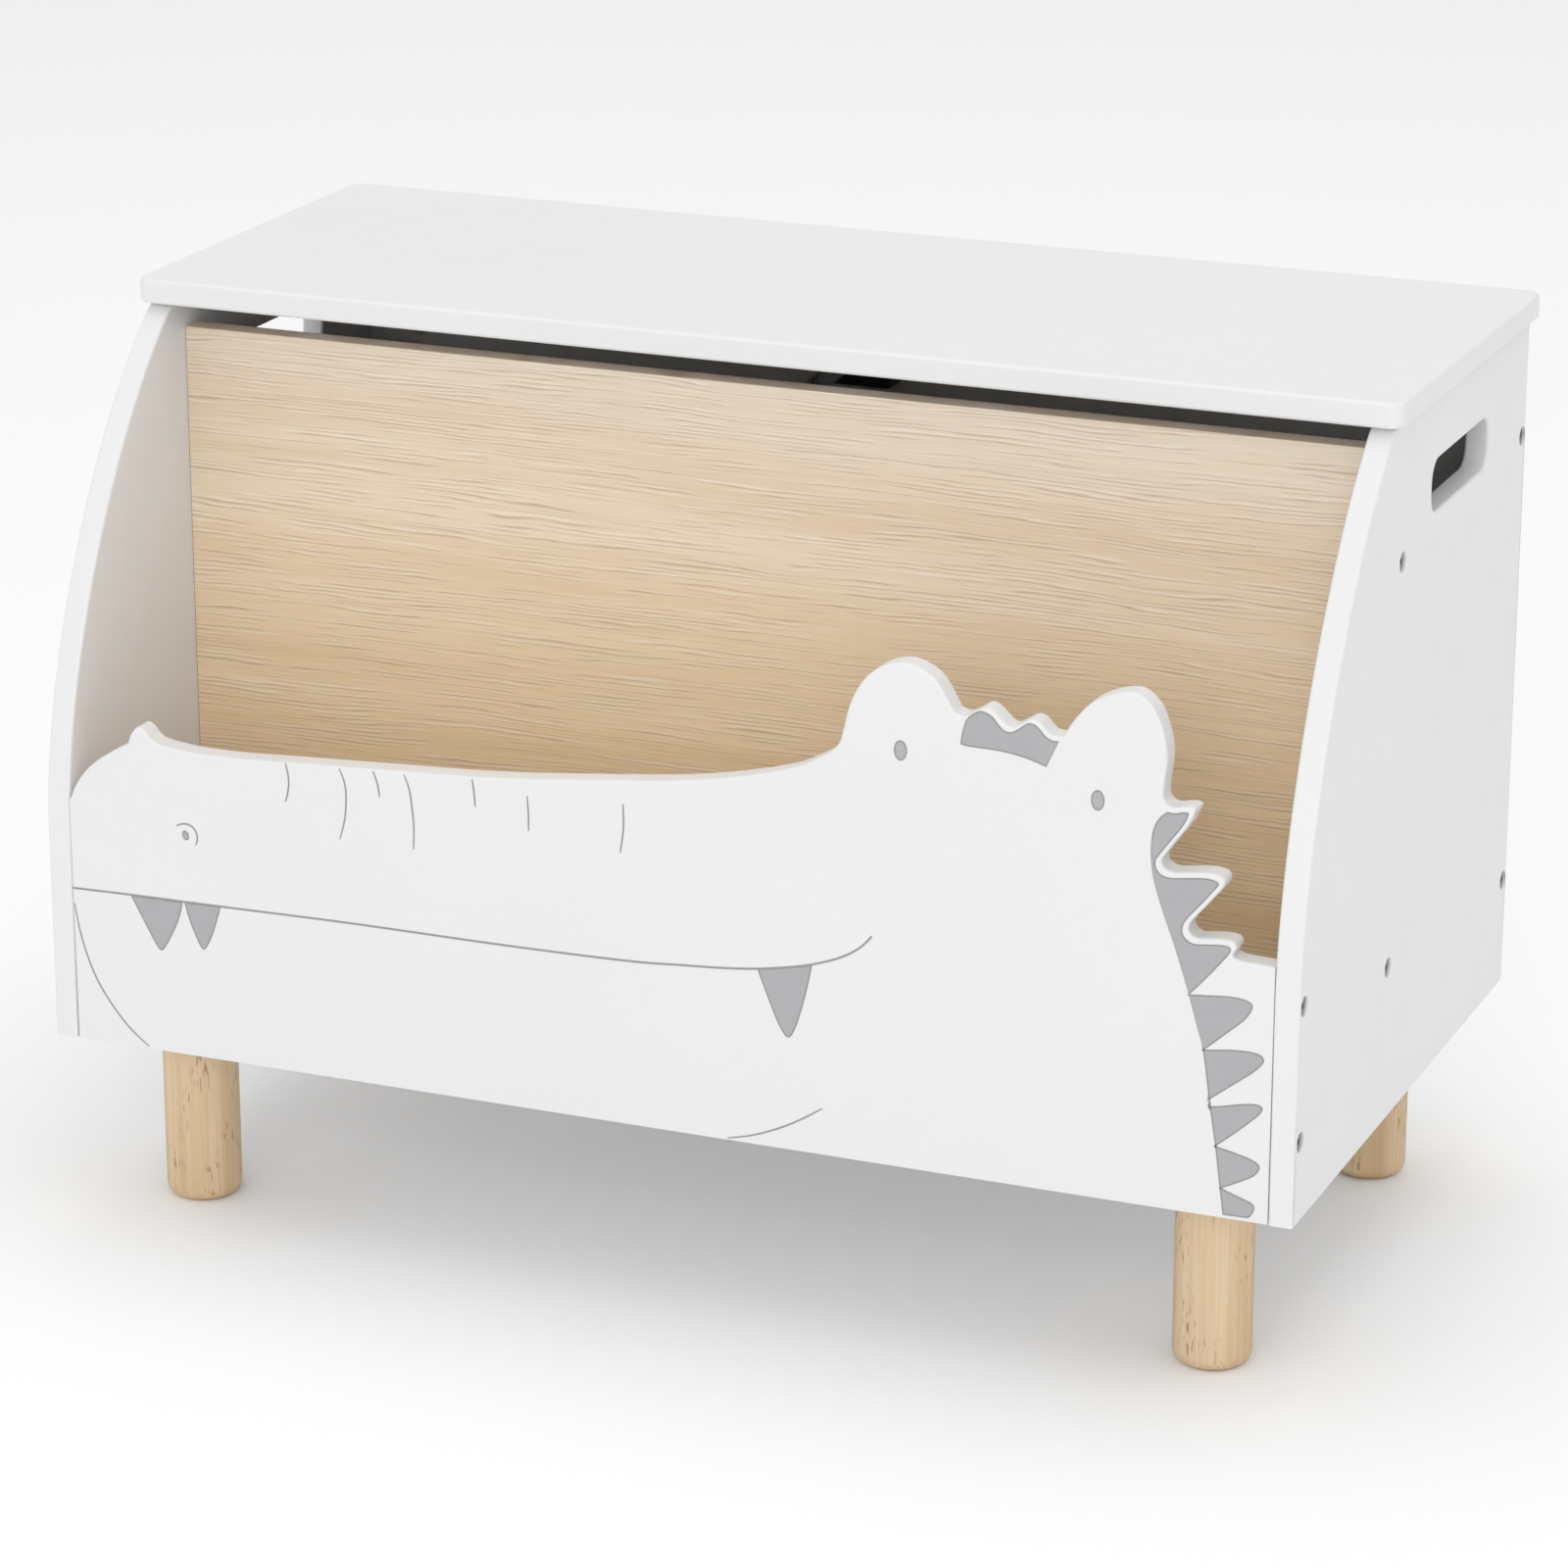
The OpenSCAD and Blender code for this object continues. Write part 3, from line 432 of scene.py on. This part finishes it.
def makeBoard(name, node, axis, material, body, edge,
              boreEdge=0.25 * mm, holeEdge=1.6 * mm, endEdge=None, steps=4):
    # A CAD board again, with rounded edges: its outline and its cut-outs carried through its thickness, its
    # bores as they are
    points, triangles = nodeTriangles(node)
    low, high = points[:, axis].min(), points[:, axis].max()
    faces = {"low": faceLoops(points, triangles, axis, low), "high": faceLoops(points, triangles, axis, high)}
    shell = Shell(axis)
    caps = {"low": [], "high": []}
    circles = {side: dict(filter(None, (asCircle(loop) for loop in loops))) for side, loops in faces.items()}
    shapes = [loop for loop in faces["high"] if asCircle(loop) is None]
    shapes.sort(key=lambda loop: -abs(signedArea(loop)))
    for number, loop in enumerate(shapes):
        loop = thinned(loop, outlineGap)
        inset = holeEdge
        if number == 0:
            inset = np.full(len(loop), edge)
            if endEdge:
                inset[endEdge["where"](loop)] = endEdge["size"]
        bottom, top = roundedWall(shell, loop, low, high, inset, steps)
        caps["low"].append(bottom)
        caps["high"].append(top)
    across = [(axis + 1) % 3, (axis + 2) % 3]
    for centre in sorted({*circles["low"], *circles["high"]}):
        reach = np.linalg.norm(points[:, across] - np.array(centre), axis=1)
        lowR, highR = circles["low"].get(centre), circles["high"].get(centre)
        if lowR and highR:
            wide = max(lowR, highR)
            levels = points[np.abs(reach - wide) < onBoreWithin][:, axis]
            seat = levels.min() if highR >= lowR else levels.max()
            stations = [(lowR + boreEdge, low), (lowR, low + boreEdge)]
            if abs(lowR - highR) > 0.1 * mm:
                stations += [(lowR, seat), (highR, seat)]
            stations += [(highR, high - boreEdge), (highR + boreEdge, high)]
            rings = boreRings(shell, centre, stations)
            caps["low"].append(rings[0])
            caps["high"].append(rings[-1])
            continue
        radius = lowR or highR
        levels = points[np.abs(reach - radius) < onBoreWithin][:, axis]
        if highR:
            stations = [(radius, levels.min()), (radius, high - boreEdge), (radius + boreEdge, high)]
            rings = boreRings(shell, centre, stations)
            caps["high"].append(rings[-1])
            shell.faces.append(rings[0][::-1].tolist())
        else:
            stations = [(radius + boreEdge, low), (radius, low + boreEdge), (radius, levels.max())]
            rings = boreRings(shell, centre, stations)
            caps["low"].append(rings[0])
            shell.faces.append(rings[-1].tolist())
    shell.cap(caps["low"], up=False)
    shell.cap(caps["high"], up=True)
    points = np.concatenate(shell.points)
    return buildPiece(name, points, shell.faces, material, body, (node,), sharp=50)


boards = {
    "edge": 1.8 * mm, "lidEdge": 2.2 * mm, "hiddenEdge": 0.5 * mm, "oakEdge": 0.6 * mm,
    "handHoleEdge": 2.0 * mm, "nearEnd": 0.5 * mm,
}
panelLow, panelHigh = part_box("crocodile_front_panel")


def atPanelEnd(loop):
    # Points at the crocodile panel's two ends and foot, where it meets other boards
    atSide = np.abs(loop[:, 1]) > panelHigh[0] - boards["nearEnd"]
    atFoot = loop[:, 0] < panelLow[2] + boards["nearEnd"]
    return atSide | atFoot


panelEnds = {"where": atPanelEnd, "size": boards["hiddenEdge"]}
for side in ("left", "right"):
    makeBoard("sideBoard" + side.title(), "side_board_" + side, 0, whitePaint, "box",
              boards["edge"], holeEdge=boards["handHoleEdge"])
makeBoard("crocodilePanel", "crocodile_front_panel", 1, whitePaint, "box",
          boards["edge"], endEdge=panelEnds)
makeBoard("oakDivider", "divider_panel", 1, oakFoil, "box", boards["oakEdge"], steps=3)
makeBoard("backPanel", "back_panel", 1, whitePaint, "box", boards["hiddenEdge"], steps=2)
makeBoard("bottomPanel", "bottom_panel", 2, whitePaint, "box", boards["hiddenEdge"], steps=2)
makeBoard("lidBoard", "lid_panel", 2, whitePaint, "lid", boards["lidEdge"], steps=5)
print("boards made")


crocodilePrint = {
    "halfWidth": 375.0, "height": 288.03,  # of the panel; widths and points too are in drawn millimetres
    "fillProud": 0.10 * mm, "rimProud": 0.16 * mm, "lineProud": 0.18 * mm, "sunk": 0.05 * mm,
    "rimWidth": 0.75, "mouthWidth": 1.15, "creaseWidth": 0.95, "creaseTaper": 0.35,
    "eyes": [(155.1, 239.2, 3.9, 5.7), (271.1, 225.6, 3.9, 5.7)],
    "nostril": (-297.1, 133.9, 2.2, 2.9, 20.0),
    "scutes": [
        [(190.6, 247.0), (191.3, 252.6), (193.7, 260.6), (197.1, 264.2), (201.4, 266.6), (205.0, 266.4),
         (209.1, 264.4), (213.0, 260.2), (216.4, 257.5), (220.4, 257.2), (224.6, 259.6), (229.5, 263.0),
         (233.8, 262.9), (237.2, 260.4), (240.6, 257.0), (244.0, 255.4), (248.0, 255.4)],
        [(248.0, 255.4), (240.9, 240.4)],
        [(240.9, 240.4), (235.5, 242.0), (228.7, 243.8), (218.5, 245.4), (208.2, 246.1), (196.0, 246.2),
         (190.6, 247.0)]],
    "fangs": [
        [[(-335.6, 92.7), (-330.5, 83.8), (-324.8, 73.8), (-320.8, 66.9), (-318.0, 62.9), (-316.3, 61.9),
          (-314.3, 63.2), (-310.2, 69.4), (-306.1, 77.1), (-302.9, 84.7), (-300.6, 93.2)],
         [(-300.6, 93.2), (-335.6, 92.7)]],
        [[(-299.6, 93.3), (-296.4, 82.5), (-292.4, 73.2), (-289.7, 67.9), (-287.5, 66.2), (-285.2, 68.5),
          (-281.9, 74.6), (-278.7, 82.9), (-275.2, 93.8)],
         [(-275.2, 93.8), (-299.6, 93.3)]],
        [[(68.9, 103.4), (74.1, 90.5), (81.0, 74.7), (85.4, 67.6), (88.2, 66.1), (90.4, 68.4), (93.6, 75.5),
          (98.7, 92.9), (102.6, 110.4)],
         [(102.6, 110.4), (86.9, 106.8), (68.9, 103.4)]]],
    "neck": [
        [(311.3, 224.2), (315.7, 223.9), (319.3, 224.9), (322.8, 225.2), (323.4, 223.6), (320.0, 216.8),
         (311.8, 206.0), (307.3, 199.8), (305.2, 196.4), (305.9, 191.9), (309.0, 188.9), (313.9, 188.0),
         (322.0, 188.9), (332.6, 190.2), (338.4, 189.9), (341.2, 188.8), (341.5, 187.2), (337.6, 182.2),
         (331.1, 174.5), (324.4, 166.8), (321.8, 162.3), (321.7, 158.0), (324.4, 154.6), (328.6, 153.0),
         (335.4, 153.6), (343.0, 154.4), (347.9, 154.2), (349.6, 152.6), (348.2, 149.4), (342.2, 142.0),
         (333.7, 132.2), (326.4, 124.4)],
        [(326.4, 124.4), (337.0, 125.3), (347.8, 126.3), (356.4, 126.1), (361.6, 124.6), (362.9, 121.6),
         (358.6, 114.4), (347.8, 104.8), (335.9, 94.4)],
        [(335.9, 94.4), (352.0, 96.6), (364.0, 96.9), (369.2, 95.2), (370.0, 91.9), (365.0, 86.1),
         (353.2, 77.0), (340.0, 67.0)],
        [(340.0, 67.0), (340.3, 63.0), (356.5, 66.4), (365.2, 67.8), (369.6, 67.0), (370.0, 64.4),
         (366.6, 60.2), (356.5, 51.0), (343.9, 40.6)],
        [(343.9, 40.6), (356.5, 38.2), (366.0, 35.6), (369.4, 32.8), (368.6, 29.4), (364.0, 25.2),
         (347.9, 17.0)],
        [(347.9, 17.0), (358.8, 13.5), (365.4, 11.2), (367.2, 8.9), (366.3, 5.4), (363.9, 2.3)],
        [(363.9, 2.3), (349.0, 1.9)],
        [(349.0, 1.9), (346.5, 19.1), (343.8, 39.2), (341.6, 52.3), (339.3, 66.2), (335.1, 93.8),
         (330.9, 107.9), (326.0, 124.5), (321.2, 138.7), (315.7, 154.0), (311.0, 165.8), (307.2, 176.1),
         (303.9, 187.2), (302.4, 197.8), (302.4, 206.7), (303.9, 214.9), (307.1, 220.6), (311.3, 224.2)]],
    "mouth": [
        (-374.6, 92.2), (-335.3, 93.1), (-275.7, 93.9), (-189.6, 95.3), (-93.8, 95.6), (-15.1, 96.9),
        (22.6, 99.2), (49.5, 101.2), (68.8, 103.5), (86.9, 106.8), (102.9, 110.7), (118.8, 116.5),
        (129.4, 122.6), (134.7, 127.2), (138.3, 131.3)],
    "lines": [
        [(-302.9, 139.0), (-300.2, 140.2), (-296.1, 140.8), (-292.1, 139.3), (-289.7, 135.9),
         (-289.4, 132.1), (-290.4, 128.9)],  # round the nostril
        [(-374.2, 82.6), (-370.5, 63.3), (-363.4, 43.1), (-353.9, 27.1), (-340.6, 11.8),
         (-327.4, 1.6)],  # chin
        [(50.4, 1.3), (65.4, 5.1), (81.5, 11.5), (95.4, 18.8), (108.7, 27.2)],  # jaw
        # the rest are creases on the snout
        [(-229.2, 185.0), (-227.8, 179.1), (-227.5, 172.7), (-228.7, 166.2), (-229.9, 162.8)],
        [(-194.0, 186.1), (-191.0, 178.5), (-190.2, 169.7), (-191.4, 157.0), (-194.8, 145.1)],
        [(-172.1, 187.2), (-169.6, 180.4), (-168.4, 172.9)],
        [(-152.2, 187.8), (-149.3, 180.4), (-147.8, 171.2), (-146.7, 158.0), (-147.2, 144.9)],
        [(-108.6, 190.3), (-107.6, 182.9), (-107.0, 175.0)],
        [(-73.9, 184.9), (-73.3, 175.0), (-73.3, 165.1)],
        [(-13.8, 187.7), (-13.6, 174.1), (-15.8, 159.7)]],
}


def smoothLine(control, steps=6):
    # Catmull-Rom curve through the points: each stretch is a cubic with the slope of its neighbours' chord
    p = np.array(control, float)
    if len(p) < 3:
        return p
    before, after = np.concatenate([p[:1], p[:-2]]), np.concatenate([p[2:], p[-1:]])
    a, b, c, d = before[:, None], p[:-1, None], p[1:, None], after[:, None]
    t = (np.arange(steps) / steps)[None, :, None]
    curve = b + 0.5 * t * ((c - a) + t * ((2 * a - 5 * b + 4 * c - d) + t * (3 * (b - c) + d - a)))
    return np.concatenate([curve.reshape(-1, 2), p[-1:]])


def onPanel(drawn):
    # Drawn millimetres to metres in the panel's plane, stretched to the panel's own size
    scale = [panelHigh[0] / crocodilePrint["halfWidth"],
             (panelHigh[2] - panelLow[2]) / crocodilePrint["height"]]
    return np.array(drawn) * scale + [0, panelLow[2]]


def closedOutline(stretches):
    # One outline from smooth stretches that each start where the one before ends
    return np.concatenate([smoothLine(stretch)[:-1] for stretch in stretches])


def ovalOutline(x, z, rx, rz, tilt=0.0, count=40):
    # An ellipse about (x, z), turned by the tilt in degrees
    t = np.arange(count) * 2 * math.pi / count
    flat = np.stack([rx * np.cos(t), rz * np.sin(t)], 1)
    turn = math.radians(tilt)
    return flat @ np.array([[math.cos(turn), math.sin(turn)], [-math.sin(turn), math.cos(turn)]]) + [x, z]


def printPiece(name, shapes, proud, material):
    # Thin flat shapes on the panel's face: each a capped outline with a low edge, let a little into the paint
    shell = Shell(1)
    face = panelLow[1]
    for loops in shapes:
        flat = [onPanel(loop)[:, ::-1] for loop in loops]  # the panel's plane runs (z, x)
        flat = [loop if (signedArea(loop) > 0) == (k == 0) else loop[::-1] for k, loop in enumerate(flat)]
        sunk = face + crocodilePrint["sunk"]
        rings = [(shell.ring(loop, face - proud), shell.ring(loop, sunk)) for loop in flat]
        for front, rear in rings:
            shell.wall([front, rear])
        shell.cap([front for front, rear in rings], up=False)
    return buildPiece(name, np.concatenate(shell.points), shell.faces, material, "box")


def strip(line, width, taper=0.0):
    # Outline of a line of that width with rounded ends: the points moved half a width to either side
    line = smoothLine(line, 8)
    along = np.gradient(line, axis=0)
    along /= np.linalg.norm(along, axis=1)[:, None]
    across = np.stack([-along[:, 1], along[:, 0]], 1)
    share = np.linspace(0, 1, len(line))
    half = width / 2 * (1 - taper * np.abs(2 * share - 1) ** 3)
    turn = np.linspace(math.pi / 2, -math.pi / 2, 7)[1:-1, None]
    tip = line[-1] + half[-1] * (np.cos(turn) * along[-1] + np.sin(turn) * across[-1])
    tail = line[0] - half[0] * (np.cos(turn) * along[0] + np.sin(turn) * across[0])
    return np.concatenate([line + across * half[:, None], tip, (line - across * half[:, None])[::-1], tail])


def rimLoops(outline, width):
    # A closed outline and the same outline moved in by the rim's width
    outline = outline if signedArea(outline) > 0 else outline[::-1]
    outline = thinned(outline, 0.2)
    return [outline, outline + fittedInset(outline, width)[0]]


art = crocodilePrint
fills = [closedOutline(stretches) for stretches in [art["neck"], art["scutes"], *art["fangs"]]]
dots = [ovalOutline(*oval) for oval in [*art["eyes"], art["nostril"]]]
rims = [rimLoops(shape, art["rimWidth"]) for shape in fills + dots]
strokes = [strip(art["mouth"], art["mouthWidth"])]
strokes += [strip(line, art["creaseWidth"], art["creaseTaper"]) for line in art["lines"]]
printPiece("printedFills", [[fill] for fill in fills], art["fillProud"], greyInk)
printPiece("printedDots", [[dot] for dot in dots], art["fillProud"], paleInk)
printPiece("printedRims", rims, art["rimProud"], greyRim)
printPiece("printedLines", [[stroke] for stroke in strokes], art["lineProud"], greyLine)
print("crocodile printed")


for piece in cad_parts.values():
    for index, material in enumerate(list(piece.data.materials)):
        piece.data.materials[index] = finishes[material.name.split(".")[0]]
print("CAD nodes finished")


studio = {
    "azimuth": 22.58, "elevation": 18.47, "distance": 3.323, "lens": 126.2,
    "aim": (-0.0045, 0.0, -0.0191),  # from the middle of the box, on the plane through the origin
    "sky": 0.83, "floor": (0.95, 0.95, 0.95), "floorHalfWidth": 16.0, "floorFront": -14.0,
    "bendFrom": 8.0, "bendRadius": 3.0, "backdropTop": 12.0,
    "key": {"place": (1.0, -4.3, 1.9), "target": (0, 0, 0.3), "size": (3.0, 2.2), "power": 46.0},
    "top": {"place": (0.2, 0.6, 4.2), "target": (0.1, 0.4, 0.0), "size": (5.0, 4.0), "power": 42.0},
}


def makeCamera():
    low, high = (np.array(corner) for corner in cadBox)
    aim = (low + high) / 2 * [1, 0, 1] + studio["aim"]
    turn, rise = math.radians(studio["azimuth"]), math.radians(studio["elevation"])
    back = np.array([math.sin(turn) * math.cos(rise), -math.cos(turn) * math.cos(rise), math.sin(rise)])
    data = bpy.data.cameras.new("camera")
    data.lens, data.sensor_width = studio["lens"], 36.0
    data.clip_start, data.clip_end = 0.1, 60.0
    camera = bpy.data.objects.new("camera", data)
    camera.location = aim + back * studio["distance"]
    camera.rotation_euler = (math.pi / 2 - rise, 0, turn)
    bpy.context.scene.collection.objects.link(camera)
    bpy.context.scene.camera = camera


def makeSoftbox(name, place, target, size, power):
    data = bpy.data.lights.new(name, "AREA")
    data.shape, data.size, data.size_y = "RECTANGLE", *size
    data.energy = power
    light = bpy.data.objects.new(name, data)
    light.location = place
    light.rotation_euler = (Vector(target) - Vector(place)).to_track_quat("-Z", "Y").to_euler()
    bpy.context.scene.collection.objects.link(light)


def makeFloor():
    # A wide pale floor that curves up into a backdrop far behind: flat, then a quarter turn, then upright
    turn = np.linspace(0, math.pi / 2, 24)
    radius, start = studio["bendRadius"], studio["bendFrom"]
    bend = np.stack([start + radius * np.sin(turn), radius - radius * np.cos(turn)], 1)
    profile = np.concatenate([[[studio["floorFront"], 0.0]], bend, [[start + radius, studio["backdropTop"]]]])
    across = np.linspace(-studio["floorHalfWidth"], studio["floorHalfWidth"], 5)
    grid = np.empty((len(profile), len(across), 3))
    grid[:, :, 0], grid[:, :, 1], grid[:, :, 2] = across[None, :], profile[:, :1], profile[:, 1:]
    rows, columns = grid.shape[:2]
    index = np.arange(rows * columns).reshape(rows, columns)
    faces = np.stack([index[:-1, :-1], index[:-1, 1:], index[1:, 1:], index[1:, :-1]], -1).reshape(-1, 4)
    mesh = bpy.data.meshes.new("floor")
    mesh.from_pydata(grid.reshape(-1, 3).tolist(), [], faces.tolist())
    mesh.shade_smooth()
    material, _, shader = startMaterial("floorPale")
    shader.inputs["Base Color"].default_value = (*studio["floor"], 1)
    shader.inputs["Roughness"].default_value = 0.9
    mesh.materials.append(material)
    floor = bpy.data.objects.new("floor", mesh)
    bpy.context.scene.collection.objects.link(floor)


def makeSky():
    world = bpy.data.worlds.new("studioSky")
    world.use_nodes = True
    background = world.node_tree.nodes["Background"]
    background.inputs["Color"].default_value = (1, 1, 1, 1)
    background.inputs["Strength"].default_value = studio["sky"]
    bpy.context.scene.world = world


makeCamera()
makeFloor()
makeSoftbox("keySoftbox", **studio["key"])
makeSoftbox("topSoftbox", **studio["top"])
makeSky()
bpy.context.scene.view_settings.view_transform = "Standard"
print("studio set")
